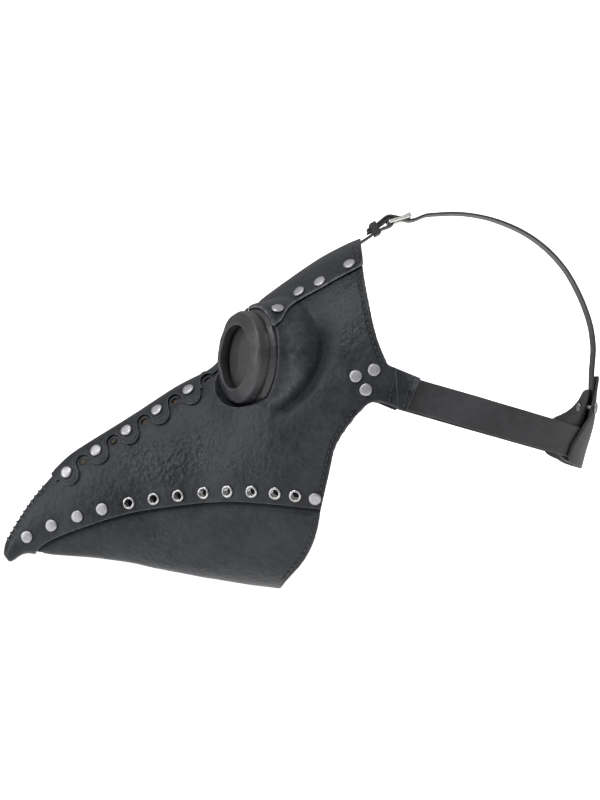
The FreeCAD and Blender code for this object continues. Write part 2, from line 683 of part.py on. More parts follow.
BAR = Vector(0, -7.6, 122.6)                    # the bar that the buckle and its prong turn on
BUCKLE_TILT = 16.0
along = Vector(0, math.cos(math.radians(BUCKLE_TILT)), math.sin(math.radians(BUCKLE_TILT)))
CHAPE_TILT = 29.0
chape_along = Vector(0, math.cos(math.radians(CHAPE_TILT)), math.sin(math.radians(CHAPE_TILT)))
chape_up = Vector(0, -chape_along.z, chape_along.y)


def ribbon(label, path, width, thick):
    """Strap of even thickness whose middle follows a smooth (y, z) path, padded across the head."""
    middle = smooth(path, 6)
    sides = ([], [])
    for i, (y, z) in enumerate(middle):
        (y0, z0), (y1, z1) = middle[max(i - 1, 0)], middle[min(i + 1, len(middle) - 1)]
        length = math.dist((y0, z0), (y1, z1))
        for side, sign in zip(sides, (0.5, -0.5)):
            side.append(Vector(y - sign * thick * (z1 - z0) / length,
                               z + sign * thick * (y1 - y0) / length, 0))
    body = doc.addObject("PartDesign::Body", label)
    sketch = body.newObject("Sketcher::SketchObject", label + "_side")
    sketch.AttachmentSupport = [(plane_of(body, "YZ_Plane"), "")]
    sketch.MapMode = "FlatFace"
    for side in sides:
        curve = Part.BSplineCurve()
        curve.interpolate(side)
        sketch.addGeometry(curve)
    for end in (0, -1):
        sketch.addGeometry(Part.LineSegment(sides[0][end], sides[1][end]))
    pad = body.newObject("PartDesign::Pad", label + "_pad")
    pad.Profile = sketch
    pad.setExpression("Length", width)
    body.Placement.Base = Vector(-size("top_width") / 2, 0, 0)
    return body


def slot(body, low, high, half_width):
    """Cut through a ribbon, between two y values."""
    sketch = body.newObject("Sketcher::SketchObject", body.Name + "_slot")
    sketch.AttachmentSupport = [(plane_of(body, "XY_Plane"), "")]
    sketch.MapMode = "FlatFace"
    middle = size("top_width") / 2
    corners = [Vector(middle + sx * half_width, y, 0)
               for sx, y in ((-1, low), (1, low), (1, high), (-1, high))]
    for a, b in zip(corners, corners[1:] + corners[:1]):
        sketch.addGeometry(Part.LineSegment(a, b))
    pocket = body.newObject("PartDesign::Pocket", body.Name + "_slot_cut")
    pocket.Profile = sketch
    pocket.Reversed = True
    pocket.Length = 200
    return pocket


def from_bar(distance, height):
    p = BAR + chape_along * distance + chape_up * height
    return (p.y, p.z)


# The forehead strap comes out from under the brow, folds round the bar and ends on itself.
fold = [(BAR.y + 2.4 * math.cos(math.radians(a)), BAR.z + 2.4 * math.sin(math.radians(a)))
        for a in (CHAPE_TILT - 90, CHAPE_TILT - 40, CHAPE_TILT, CHAPE_TILT + 40, CHAPE_TILT + 90)]
under_brow = [(y, z - 0.8) for y, z in (ridge_at(0.787), ridge_at(0.815))]
forehead_path = (under_brow + [from_bar(-20, -2.2),
                 from_bar(-12, -1.3), from_bar(-6, -1.6)] + fold
                 + [from_bar(-6, 1.6), from_bar(-12, 0.9), from_bar(-18, 0.9)])
forehead_strap = ribbon("forehead_strap", forehead_path, "sizes.top_width", 1.4)
slot(forehead_strap, BAR.y - 4.5, BAR.y + 6, 2.2)
keep(forehead_strap, "forehead_strap")

top_path = [from_bar(-17, 2.8), from_bar(-10, 2.95), (-9.6, 126.8), (-3, 126.4), (1.5, 125.2), (6.4, 124),
            (11, 124.9), (16, 127), (22, 128.3), (43.2, 128.9), (64.8, 125.3), (86.4, 116.7),
            (104.4, 104.4), (118.8, 88.6), (129.6, 69.2), (136.6, 50), (138.9, 34), (138.6, 24),
            (137.9, 14), (137.7, 2), (136.8, -10)]
top_strap = ribbon("top_strap", top_path, "sizes.top_width", size("top_thick"))
slot(top_strap, BAR.y - 6.5, 3.5, 2.0)
keep(top_strap, "top_strap")

toe = BAR + along * size("buckle_length")
frame_pieces = []
for name, middle in (("heel", BAR), ("toe", toe)):
    frame_pieces.append(cylinder("buckle_" + name, "sizes.bar_radius", "sizes.buckle_width",
                                 Placement(middle - Vector(size("buckle_width") / 2, 0, 0),
                                           Rotation(Vector(0, 0, 1), Vector(1, 0, 0)))))
for name, sign in (("left", 1), ("right", -1)):
    corner = Vector(sign * size("buckle_width") / 2, 0, 0)
    frame_pieces.append(cylinder("buckle_side_" + name, "sizes.bar_radius", "sizes.buckle_length",
                                 Placement(BAR + corner, Rotation(Vector(0, 0, 1), along))))
    for end, middle in (("heel", BAR), ("toe", toe)):
        ball = doc.addObject("Part::Sphere", "buckle_corner_%s_%s" % (name, end))
        ball.setExpression("Radius", "sizes.bar_radius")
        ball.Placement.Base = middle + corner
        frame_pieces.append(ball)
keep(fused("buckle_frame", frame_pieces), "buckle_frame")

# The prong's eye turns on the heel bar and its shank rests on the toe bar.
prong_rise = math.degrees(math.asin((size("bar_radius") + size("prong_radius") + 0.1)
                                    / size("buckle_length")))
prong_along = Vector(0, math.cos(math.radians(BUCKLE_TILT + prong_rise)),
                     math.sin(math.radians(BUCKLE_TILT + prong_rise)))
PRONG_EYE = 2.6
prong_eye = cylinder("prong_eye", "%f" % PRONG_EYE, "3",
                     Placement(BAR - Vector(1.5, 0, 0), Rotation(Vector(0, 0, 1), Vector(1, 0, 0))))
prong_shank = cylinder("prong_shank", "sizes.prong_radius", "sizes.buckle_length + 0.5",
                       Placement(BAR + prong_along * 1.6, Rotation(Vector(0, 0, 1), prong_along)))
prong = doc.addObject("Part::Cut", "buckle_prong")
prong.Base = fused("prong_body", [prong_eye, prong_shank])
prong.Tool = cylinder("prong_bore", "sizes.bar_radius + 0.08", "8",
                      Placement(BAR - Vector(4, 0, 0), Rotation(Vector(0, 0, 1), Vector(1, 0, 0))))
keep(prong, "buckle_prong")


def loop_box(name, across, height, length):
    """Box round the forehead strap, square to it."""
    box = doc.addObject("Part::Box", name)
    box.Length, box.Width, box.Height = across, length, height
    middle = BAR - chape_along * 11.5 + chape_up * 1.0
    turn = Rotation(Vector(1, 0, 0), CHAPE_TILT)
    box.Placement = Placement(middle - turn.multVec(Vector(across, length, height) * 0.5), turn)
    return box


keeper = doc.addObject("Part::Cut", "keeper_loop")
keeper.Base = loop_box("keeper_outside", size("top_width") + 3.6, 9.6, 5)
keeper.Tool = loop_box("keeper_inside", size("top_width") + 0.8, 7.0, 7)
keep(keeper, "keeper_loop")

# ---------------------------------------------------------------- checks and files

doc.recompute()
for obj in doc.Objects:
    if "Invalid" in obj.State or "Error" in obj.State:
        raise RuntimeError("%s failed: %s" % (obj.Name, obj.State))
for obj in parts:
    if obj.Shape.isNull() or not obj.Shape.isValid() or not obj.Shape.Solids:
        raise RuntimeError("%s has no sound shape" % obj.Label)

os.makedirs("parts", exist_ok=True)
for obj in parts:
    obj.Shape.exportStep("parts/%s.step" % obj.Label)
    box = obj.Shape.BoundBox
    print("%-24s solids %2d volume %9.1f  x %.1f..%.1f y %.1f..%.1f z %.1f..%.1f" % (
        obj.Label, len(obj.Shape.Solids), obj.Shape.Volume, box.XMin, box.XMax, box.YMin, box.YMax,
        box.ZMin, box.ZMax))
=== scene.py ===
import math

import bmesh
import bpy
import numpy as np
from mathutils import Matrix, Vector, noise
from mathutils.bvhtree import BVHTree
from mathutils.kdtree import KDTree


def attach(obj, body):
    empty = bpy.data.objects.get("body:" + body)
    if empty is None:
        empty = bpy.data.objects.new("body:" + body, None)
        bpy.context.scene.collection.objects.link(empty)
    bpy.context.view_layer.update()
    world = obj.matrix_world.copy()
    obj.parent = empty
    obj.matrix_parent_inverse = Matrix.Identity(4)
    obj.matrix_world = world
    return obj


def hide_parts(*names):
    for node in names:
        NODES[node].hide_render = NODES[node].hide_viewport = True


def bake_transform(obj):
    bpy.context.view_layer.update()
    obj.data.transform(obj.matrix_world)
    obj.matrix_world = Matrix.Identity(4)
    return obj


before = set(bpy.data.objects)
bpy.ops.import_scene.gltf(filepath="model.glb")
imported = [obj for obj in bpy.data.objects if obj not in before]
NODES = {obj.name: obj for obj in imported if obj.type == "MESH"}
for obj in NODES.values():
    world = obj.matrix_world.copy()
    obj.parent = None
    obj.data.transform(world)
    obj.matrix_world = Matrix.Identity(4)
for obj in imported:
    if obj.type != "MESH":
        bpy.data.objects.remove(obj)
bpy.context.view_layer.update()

# Plague doctor mask. Every leather piece is a dense copy of its CAD node, relaxed so that its edges
# and moulded pods are soft, then creased, dented under the rivets and given a grained material.
# Metal pieces and the rings are lathed on the places of their CAD nodes. Stitches, the lacing over the
# beak's tip and the dark discs of painted shade in the breathing holes have no CAD node. Lengths in the
# code are millimetres, turned into metres where a mesh is made.

MM = 0.001

# ---------------------------------------------------------------- small helpers


def add_object(name, mesh):
    obj = bpy.data.objects.new(name, mesh)
    bpy.context.scene.collection.objects.link(obj)
    return obj


def from_lists(name, verts, faces, material, body, slot):
    """Object from vertices in metres, riding on a body."""
    mesh = bpy.data.meshes.new(name)
    mesh.from_pydata([tuple(v) for v in verts], [], faces)
    clean = bmesh.new()
    clean.from_mesh(mesh)
    bmesh.ops.remove_doubles(clean, verts=clean.verts, dist=1e-6)
    bmesh.ops.recalc_face_normals(clean, faces=clean.faces)
    clean.to_mesh(mesh)
    clean.free()
    mesh.materials.append(material)
    mesh.shade_smooth()
    obj = add_object(name, mesh)
    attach(obj, body)
    return obj


def coords(mesh):
    co = np.empty(len(mesh.vertices) * 3, np.float32)
    mesh.vertices.foreach_get("co", co)
    return co.reshape(-1, 3).astype(float) / MM


def normals(mesh):
    no = np.empty(len(mesh.vertices) * 3, np.float32)
    mesh.vertex_normals.foreach_get("vector", no)
    return no.reshape(-1, 3).astype(float)


def set_coords(mesh, co):
    mesh.vertices.foreach_set("co", (co * MM).astype(np.float32).ravel())
    mesh.update()


def edge_ends(mesh):
    ends = np.empty(len(mesh.edges) * 2, np.int32)
    mesh.edges.foreach_get("vertices", ends)
    return ends.reshape(-1, 2)


def relax(co, ends, weight, rounds):
    """Moves each vertex towards the mean of its neighbours, rounds times, by its weight."""
    live = ends[(weight[ends[:, 0]] > 0) | (weight[ends[:, 1]] > 0)]
    a, b = live[:, 0], live[:, 1]
    total = np.bincount(a, minlength=len(co)) + np.bincount(b, minlength=len(co))
    moved = np.where((total > 0) & (weight > 0))[0]
    share = (0.5 * weight[moved] / total[moved])[:, None]
    for _ in range(rounds):
        pull = np.stack([np.bincount(a, co[b, k], len(co)) + np.bincount(b, co[a, k], len(co))
                         for k in range(3)], 1)
        co[moved] += share * (pull[moved] - total[moved, None] * co[moved])
    return co


def wave(co, size, seed, detail=2):
    """Smooth noise, about -1 to 1, with features of the given size in mm."""
    shift = Vector((seed * 17.3, seed * 5.1, seed * 9.7))
    return np.array([noise.fractal(Vector(p) / size + shift, 1.0, 2.0, detail) for p in co])


def falloff(distance, reach):
    return np.exp(-(distance / reach) ** 2)


# ---------------------------------------------------------------- places taken from the CAD nodes


def islands(node):
    """Vertex index lists of a node's separate solids."""
    mesh = bmesh.new()
    mesh.from_mesh(NODES[node].data)
    bmesh.ops.remove_doubles(mesh, verts=mesh.verts, dist=1e-6)
    seen, found = set(), []
    for start in mesh.verts:
        if start in seen:
            continue
        stack, group = [start], set()
        while stack:
            v = stack.pop()
            if v in group:
                continue
            group.add(v)
            stack.extend(e.other_vert(v) for e in v.link_edges)
        seen |= group
        found.append(list({f for v in group for f in v.link_faces}))
    return mesh, found


def seats(node):
    """(centre, normal, length) of each solid in a node: its largest flat face, and how far the
    solid reaches behind it, in mm."""
    mesh, groups = islands(node)
    places = []
    for faces in groups:
        flats = {}
        for f in faces:
            level = f.normal @ f.calc_center_median() / MM
            key = (*(round(c, 2) for c in f.normal), round(level, 1))
            area, middle, normal = flats.get(key, (0.0, Vector(), Vector()))
            here = f.calc_area()
            flats[key] = (area + here, middle + f.calc_center_median() * here,
                          normal + f.normal * here)
        area, middle, normal = max(flats.values(), key=lambda item: item[0])
        normal.normalize()
        middle = middle / area
        length = max((middle - v.co) @ normal for f in faces for v in f.verts)
        places.append((middle / MM, normal, length / MM))
    mesh.free()
    return places


def lathe(profile, segments, centre, normal, closed=False, wobble=None):
    """Vertices and faces of a (radius, height) profile turned about a normal, heights along it."""
    spin = normal.to_track_quat("Z", "Y").to_matrix()
    verts, faces, count = [], [], len(profile)
    for k in range(segments):
        a = 2 * math.pi * k / segments
        for radius, height in profile:
            p = Vector((radius * math.cos(a), radius * math.sin(a), height))
            if wobble:
                p *= 1 + wobble(p)
            verts.append((centre + spin @ p) * MM)
        for i in range(count - 1):
            j = (k + 1) % segments
            faces.append((k * count + i, j * count + i, j * count + i + 1, k * count + i + 1))
        if closed:
            j = (k + 1) % segments
            faces.append((k * count + count - 1, j * count + count - 1, j * count, k * count))
    return verts, faces


def joined(pieces):
    """One list of vertices and faces out of several."""
    verts, faces = [], []
    for v, f in pieces:
        shift = len(verts)
        verts.extend(v)
        faces.extend(tuple(i + shift for i in face) for face in f)
    return verts, faces


FLANGE = 12.9                   # the ring's flange lies this far behind its datum plane


def eye_axis(side):
    """Middle of a ring's datum plane, and the direction it faces, from the back of its flange."""
    middle, back, length = seats("eye_ring_" + side)[0]
    return middle - back * FLANGE, -back


EYES = {side: eye_axis(side) for side in ("left", "right")}


def from_eye(co, side):
    """Radius about an eye's axis and depth behind the ring's datum plane, of each point."""
    centre, axis = (np.array(v) for v in EYES[side])
    away = co - centre
    depth = -(away @ axis)
    radius = np.sqrt(np.maximum((away ** 2).sum(1) - depth ** 2, 0))
    return radius, depth

# ---------------------------------------------------------------- materials


def bare(name, base, roughness, metallic=0.0):
    """Material with one Principled shader, and its tree, shader and object coordinates."""
    material = bpy.data.materials.new(name)
    material.use_nodes = True
    tree = material.node_tree
    shader = tree.nodes["Principled BSDF"]
    shader.inputs["Base Color"].default_value = (*base, 1)
    shader.inputs["Roughness"].default_value = roughness
    shader.inputs["Metallic"].default_value = metallic
    where = tree.nodes.new("ShaderNodeTexCoord").outputs["Object"]
    return material, tree, shader, where


def noise_node(tree, where, scale, detail=4, rough=0.55, lacunarity=2.0):
    node = tree.nodes.new("ShaderNodeTexNoise")
    node.inputs["Scale"].default_value = scale
    node.inputs["Detail"].default_value = detail
    node.inputs["Roughness"].default_value = rough
    node.inputs["Lacunarity"].default_value = lacunarity
    tree.links.new(where, node.inputs["Vector"])
    return node.outputs["Fac"]


def cells(tree, where, scale, feature="F1"):
    node = tree.nodes.new("ShaderNodeTexVoronoi")
    node.feature = feature
    node.inputs["Scale"].default_value = scale
    tree.links.new(where, node.inputs["Vector"])
    return node.outputs["Distance"]


def spread(tree, value, low, high, to_low=0.0, to_high=1.0):
    node = tree.nodes.new("ShaderNodeMapRange")
    node.inputs["From Min"].default_value = low
    node.inputs["From Max"].default_value = high
    node.inputs["To Min"].default_value = to_low
    node.inputs["To Max"].default_value = to_high
    tree.links.new(value, node.inputs["Value"])
    return node.outputs["Result"]


def calc(tree, how, a, b):
    node = tree.nodes.new("ShaderNodeMath")
    node.operation = how
    for socket, value in zip(node.inputs, (a, b)):
        if isinstance(value, (int, float)):
            socket.default_value = value
        else:
            tree.links.new(value, socket)
    return node.outputs["Value"]


def mixed(tree, share, first, second):
    """Colour between two, each a colour or a socket."""
    node = tree.nodes.new("ShaderNodeMix")
    node.data_type = "RGBA"
    tree.links.new(share, node.inputs["Factor"])
    for index, value in ((6, first), (7, second)):
        if isinstance(value, tuple):
            node.inputs[index].default_value = (*value, 1)
        else:
            tree.links.new(value, node.inputs[index])
    return node.outputs[2]


def bumped(tree, shader, *layers):
    """Adds bump layers, each (height socket, strength, distance in mm), one over the other."""
    before = None
    for height, strength, distance in layers:
        node = tree.nodes.new("ShaderNodeBump")
        node.inputs["Strength"].default_value = strength
        node.inputs["Distance"].default_value = distance * MM
        tree.links.new(height, node.inputs["Height"])
        if before:
            tree.links.new(before, node.inputs["Normal"])
        before = node.outputs["Normal"]
    tree.links.new(before, shader.inputs["Normal"])


def attribute(tree, name):
    node = tree.nodes.new("ShaderNodeAttribute")
    node.attribute_name = name
    return node.outputs["Fac"]


def leather(name, deep, pale, worn_and_lit, rough=(0.42, 0.62), grain=1.0, wear_and_highlight=1.0):
    """Waxed leather: cloudy dye, pores, fine creases, and paler rubbed edges and scuffs; also a painted
    highlight on the pods' crests, and painted shade in the creases round the pods and rings, along the
    stitching and under the side panels' lower edge.
    """
    material, tree, shader, where = bare(name, deep, 0.5)
    clouds = noise_node(tree, where, 30, 5, 0.6)
    mottle = noise_node(tree, where, 170, 6, 0.7)
    tone = calc(tree, "ADD", calc(tree, "MULTIPLY", clouds, 0.6), calc(tree, "MULTIPLY", mottle, 0.4))
    colour = mixed(tree, spread(tree, tone, 0.38, 0.66), deep, pale)
    scuffs = spread(tree, noise_node(tree, where, 260, 9, 0.78), 0.6, 0.8)
    patches = spread(tree, noise_node(tree, where, 34, 3, 0.5), 0.5, 0.7)
    # Paler where rubbed, and a painted highlight on the pods' crests: both come from one point
    # attribute.
    rub_and_highlight_share = calc(tree, "MULTIPLY", attribute(tree, "rub_and_highlight"), spread(tree, mottle, 0.3, 0.6, 0.25, 1.0))
    wear_and_highlight_share = calc(tree, "MINIMUM", calc(tree, "ADD", calc(tree, "MULTIPLY", scuffs, patches),
                                            rub_and_highlight_share), 1.0)
    colour = mixed(tree, calc(tree, "MULTIPLY", wear_and_highlight_share, 0.55 * wear_and_highlight), colour, worn_and_lit)
    # Painted shade: the colour darkens towards a third of the deep dye, and the specular level drops,
    # where the shade attribute is set.
    colour = mixed(tree, attribute(tree, "painted_shade"), colour, tuple(0.3 * c for c in deep))
    tree.links.new(colour, shader.inputs["Base Color"])
    tree.links.new(spread(tree, tone, 0.35, 0.7, *rough), shader.inputs["Roughness"])
    shade_specular = spread(tree, attribute(tree, "painted_shade"), 0, 1, 0.26, 0.08)
    tree.links.new(shade_specular, shader.inputs["Specular IOR Level"])
    pores = spread(tree, cells(tree, where, 900), 0.0, 0.5)
    creases = spread(tree, cells(tree, where, 330, "SMOOTH_F1"), 0.0, 0.6)
    folds = noise_node(tree, where, 120, 4, 0.6)
    bumped(tree, shader, (folds, 0.35 * grain, 1.6), (creases, 0.25 * grain, 0.5),
           (pores, 0.3 * grain, 0.25))
    return material


def suede(name, deep, pale, outer_face_shade):
    """Napped lining: short fibres in two tones, and painted shade in dark brown on the face against the
    leather.
    """
    material, tree, shader, where = bare(name, deep, 0.92)
    nap = noise_node(tree, where, 900, 8, 0.8)
    shade = noise_node(tree, where, 45, 4, 0.6)
    tone = calc(tree, "ADD", calc(tree, "MULTIPLY", nap, 0.55), calc(tree, "MULTIPLY", shade, 0.45))
    colour = mixed(tree, spread(tree, tone, 0.35, 0.65), deep, pale)
    # Painted shade: dark brown where the shade attribute is set.
    tree.links.new(mixed(tree, attribute(tree, "painted_shade"), colour, outer_face_shade), shader.inputs["Base Color"])
    shader.inputs["Sheen Weight"].default_value = 0.25
    bumped(tree, shader, (nap, 0.5, 0.35))
    return material


def metal(name, base, tarnish, rough, scratch=0.2):
    """Rivet, eyelet or buckle metal: fine scratches and duller spots."""
    material, tree, shader, where = bare(name, base, rough[0], 1.0)
    spots = spread(tree, noise_node(tree, where, 420, 6, 0.7), 0.4, 0.7)
    tree.links.new(mixed(tree, spots, base, tarnish), shader.inputs["Base Color"])
    tree.links.new(spread(tree, spots, 0, 1, *rough), shader.inputs["Roughness"])
    bumped(tree, shader, (noise_node(tree, where, 1600, 3, 0.5), scratch, 0.08))
    return material


def moulded(name, deep, pale, rough):
    """Cast black ring: soft satin with small dents, and a painted highlight on its corners."""
    material, tree, shader, where = bare(name, deep, rough[0])
    dents = noise_node(tree, where, 210, 5, 0.65)
    # Paler over random dents, and a painted highlight on the corners.
    share = calc(tree, "MINIMUM", calc(tree, "ADD", spread(tree, dents, 0.52, 0.8, 0.0, 0.5),
                                       calc(tree, "MULTIPLY", attribute(tree, "rub_and_highlight"), 0.8)), 1.0)
    tree.links.new(mixed(tree, share, deep, pale), shader.inputs["Base Color"])
    tree.links.new(spread(tree, dents, 0.3, 0.7, *rough), shader.inputs["Roughness"])
    fine = spread(tree, cells(tree, where, 700), 0.0, 0.5)
    bumped(tree, shader, (dents, 0.35, 0.9), (fine, 0.2, 0.15))
    return material


def smoked(name):
    """Dark see-through lens."""
    material, tree, shader, where = bare(name, (0.040, 0.040, 0.042), 0.2)
    shader.inputs["Alpha"].default_value = 0.95
    shader.inputs["IOR"].default_value = 1.5
    haze = noise_node(tree, where, 90, 3, 0.5)
    tree.links.new(spread(tree, haze, 0.3, 0.7, 0.1, 0.22), shader.inputs["Roughness"])
    return material


def thread(name, base):
    """Waxed sewing thread with its twist."""
    material, tree, shader, where = bare(name, base, 0.55)
    twist = noise_node(tree, where, 2500, 2, 0.5)
    tree.links.new(mixed(tree, twist, base, tuple(c * 2.2 for c in base)),
                   shader.inputs["Base Color"])
    bumped(tree, shader, (twist, 0.6, 0.1))
    return material


# Each leather's third colour serves both for its wear and for its painted highlight.
HIDE = leather("mask_leather", (0.0055, 0.0065, 0.008), (0.026, 0.029, 0.035),
               (0.135, 0.14, 0.15), (0.34, 0.56), 1.5)
TRIM = leather("trim_leather", (0.0055, 0.0065, 0.008), (0.020, 0.0225, 0.028),
               (0.20, 0.205, 0.215), (0.36, 0.56), 1.4, 1.3)
STRAP = leather("strap_leather", (0.026, 0.026, 0.028), (0.046, 0.046, 0.050),
                (0.08, 0.08, 0.085), (0.42, 0.55), 0.4, 0.4)
# The lining's last colour is painted shade for its outer face.
LINING = suede("lining_suede", (0.50, 0.43, 0.34), (0.68, 0.61, 0.50), (0.055, 0.034, 0.022))
RIVET = metal("rivet_metal", (0.40, 0.40, 0.41), (0.27, 0.27, 0.28), (0.42, 0.6))
EYELET = metal("eyelet_metal", (0.46, 0.46, 0.47), (0.36, 0.36, 0.37), (0.24, 0.34), 0.03)
BUCKLE = metal("buckle_metal", (0.70, 0.69, 0.66), (0.50, 0.49, 0.46), (0.2, 0.35), 0.1)
RING = moulded("ring_black", (0.016, 0.016, 0.018), (0.060, 0.062, 0.068), (0.34, 0.52))
LENS = smoked("lens_smoke")
THREAD = thread("black_thread", (0.012, 0.012, 0.013))
# Dark brown discs in the breathing holes: painted shade.
VENT_SHADE = suede("vent_shade_disc", (0.020, 0.016, 0.010), (0.045, 0.036, 0.024), (0.02, 0.016, 0.01))
LACE = thread("lace_thread", (0.020, 0.021, 0.024))

# ---------------------------------------------------------------- leather from the CAD nodes

RIVET_NODES = ["ridge_rivets", "forehead_rivets", "jaw_rivets", "ear_rivets", "jaw_eyelets"]
SEATS = {node: seats(node) for base in RIVET_NODES for node in (base + "_left", base + "_right")}
SEATS["back_rivets"] = seats("back_rivets")
SEAT_POINTS = np.array([tuple(c) for places in SEATS.values() for c, n, length in places])


def dense(node, voxel):
    """Evenly meshed copy of a CAD node, with cells of voxel mm."""
    mesh = bmesh.new()
    mesh.from_mesh(NODES[node].data)
    bmesh.ops.remove_doubles(mesh, verts=mesh.verts, dist=1e-6)
    copy = bpy.data.meshes.new(node + "_copy")
    mesh.to_mesh(copy)
    mesh.free()
    obj = add_object(node + "_copy", copy)
    modifier = obj.modifiers.new("dense", "REMESH")
    modifier.mode = "VOXEL"
    modifier.voxel_size = voxel * MM
    modifier.adaptivity = 0
    graph = bpy.context.evaluated_depsgraph_get()
    result = bpy.data.meshes.new_from_object(obj.evaluated_get(graph))
    bpy.data.objects.remove(obj)
    bpy.data.meshes.remove(copy)
    return result


def store(mesh, name, values):
    layer = mesh.attributes.get(name) or mesh.attributes.new(name, "FLOAT", "POINT")
    layer.data.foreach_set("value", values.astype(np.float32))


def rubbing(co, ends, no, voxel):
    """How far each vertex stands out from its neighbours, 0 to 1, as rubbed edges do."""
    around = relax(co.copy(), ends, np.ones(len(co)), 3)
    proud = ((co - around) * no).sum(1) / voxel
    return np.clip((proud - 0.06) * 5, 0, 1)


def leather_piece(name, node, material, body, voxel, shape=None, soft=2, rub_and_highlight=1.0,
                  marks=None):
    """Replaces a CAD node with a soft-edged, creased copy; shape changes its points in mm, and marks
    gives extra wear, painted highlight and painted shade for each point. Without a body, the caller
    bakes its transform."""
    mesh = dense(node, voxel)
    co, ends = coords(mesh), edge_ends(mesh)
    co = relax(co, ends, np.full(len(co), 0.8), soft)
    set_coords(mesh, co)
    wear_and_highlight, painted_shade = marks(co, normals(mesh)) if marks else (0, np.zeros(len(co)))
    if shape:
        co = shape(co, normals(mesh), ends)
        set_coords(mesh, co)
    store(mesh, "rub_and_highlight", np.clip(rubbing(co, ends, normals(mesh), voxel) * rub_and_highlight + wear_and_highlight, 0, 1))
    store(mesh, "painted_shade", np.clip(painted_shade, 0, 1))
    mesh.materials.clear()
    mesh.materials.append(material)
    mesh.shade_smooth()
    obj = add_object(name, mesh)
    if body:
        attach(obj, body)
    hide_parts(node)
    return obj


# A panel's slow swells, its wrinkles and its dents are pushed along one smooth direction, so both
# faces of a panel, and the layers under it, move together.


def away(co):
    """Unit directions out of the mask's hollow."""
    spine = np.interp(co[:, 1], (-282, -200, -120, -60, -20), (-115, -75, -45, -20, 0))
    middle = np.stack([np.zeros(len(co)), np.minimum(co[:, 1], -30), spine], 1)
    out = co - middle
    return out / np.maximum(np.linalg.norm(out, axis=1), 1e-6)[:, None]


def nearest(co, points):
    """Distance from each vertex to the nearest of some points, in mm."""
    tree = KDTree(len(points))
    for k, p in enumerate(points):
        tree.insert(p, k)
    tree.balance()
    return np.array([tree.find(p)[2] for p in co])


# Wrinkled patches, as (centre in the side view, radius): where the beak flexes.
WRINKLED = [((-172, -50), 19), ((-168, -107), 17), ((-196, -40), 12), ((-118, 8), 12),
            ((-140, -40), 15), ((-100, -58), 14), ((-215, -84), 12)]


POD_CREST = 40.5                # radius of a pod's crest about the eye's axis
POD_CREASE = 47.5               # and of the crease beyond it


def pod_share(co, side, depth):
    """1 behind and below an eye, where its pod stands out of the cheek, falling to 0 elsewhere."""
    centre = EYES[side][0]
    share = (co[:, 0] * centre.x > 0) * np.clip((depth - 13) / 7, 0, 1)
    share *= np.clip((95 - depth) / 25, 0, 1) * np.clip((56 - co[:, 2]) / 14, 0, 1)
    return share * np.clip((co[:, 1] - centre.y + 10) / 12, 0, 1)


def pushed(co):
    """How far each point moves outwards: swells, wrinkles, dents under the fasteners, and the
    crest and crease of the pods."""
    amount = 0.5 * wave(co, 38, 0, 2) + 0.1 * wave(co, 9, 3, 2)
    folds = np.abs(wave(co * (1, 1.2, 0.75), 4.6, 5, 3))
    for (y, z), reach in WRINKLED:
        here = falloff(np.hypot(co[:, 1] - y, co[:, 2] - z), reach)
        amount += here * (1.2 * folds - 0.5)
    near = nearest(co, SEAT_POINTS)
    amount *= 1 - falloff(near, 9)
    amount -= 0.5 * (falloff(near, 6) - falloff(near, 3.5))
    amount -= 0.35 * falloff(nearest(co, SEAMS), 1.1)
    for side in EYES:
        radius, depth = from_eye(co, side)
        ring = 1 - np.clip((radius - 36) / 10, 0, 1)
        amount *= 1 - ring * (depth < 40) * (depth > -5)
        pod = pod_share(co, side, depth) * np.clip((near - 7) / 5, 0, 1)
        amount += pod * 0.9 * falloff(radius - POD_CREST, 2.8)
        amount -= pod * 3.4 * falloff(radius - POD_CREASE, 4.6)
    return amount


def panel_shape(co, no, ends, soften=14):
    """Shape of a mask panel: soft pods, swells, wrinkles and dents; soften is rounds of relaxing."""
    for side in EYES:
        sign = 1 if side == "left" else -1
        radius, depth = from_eye(co, side)
        inside = (co[:, 0] * sign > 0) & (depth > 12) & (depth < 64)
        weight = np.clip((radius - 36) / 4, 0, 1) * np.clip((72 - radius) / 8, 0, 1)
        weight = np.where(inside, weight, 0.0) * clear_of_rims(co)
        co = relax(co, ends, weight, soften)
    return co + away(co) * pushed(co)[:, None]


def cut_edge(co, no):
    """Points on the cut edge of a piece."""
    return co[np.abs((no * away(co)).sum(1)) < 0.3]


def edge_distance(co, no):
    """Distance of each point from the cut edge of its own piece, in mm."""
    return nearest(co, cut_edge(co, no))


def side_marks(co, no):
    """Painted highlight on the pods' crests and wear on their undersides; painted shade in the creases
    round the pods, round the rings' bases and along the stitching.
    """
    wear_and_highlight, painted_shade = np.zeros(len(co)), np.zeros(len(co))
    uneven = 0.6 + 0.4 * wave(co, 7, 21, 3)
    for side in EYES:
        radius, depth = from_eye(co, side)
        here = pod_share(co, side, depth)
        crest_highlight = falloff(radius - POD_CREST, 2.6) * np.clip((60 - depth) / 15, 0, 1)
        # Painted highlight along each pod's crest.
        wear_and_highlight += here * crest_highlight * np.clip(uneven, 0, 1)
        # Painted shade in the crease beyond each pod.
        painted_shade += here * falloff(radius - POD_CREASE, 4.8) * 0.75
        low = crest_highlight * falloff(co[:, 2] + 8, 14)
        wear_and_highlight += here * low * np.clip(wave(co * (1, 1, 2.2), 2.6, 31, 3), 0, 1) * 1.4
        # Painted shade round the base of each ring.
        painted_shade += here * falloff(radius - 35.5, 1.8) * 0.8
    # Painted shade along the stitched seams.
    painted_shade += 0.6 * falloff(nearest(co, SEAMS), 1.2)
    return wear_and_highlight, painted_shade


def jaw_marks(co, no):
    """Painted shadow on the jaw under the side panels' lower edge."""
    return 0, falloff(nearest(co, SIDE_EDGE), 3.6)


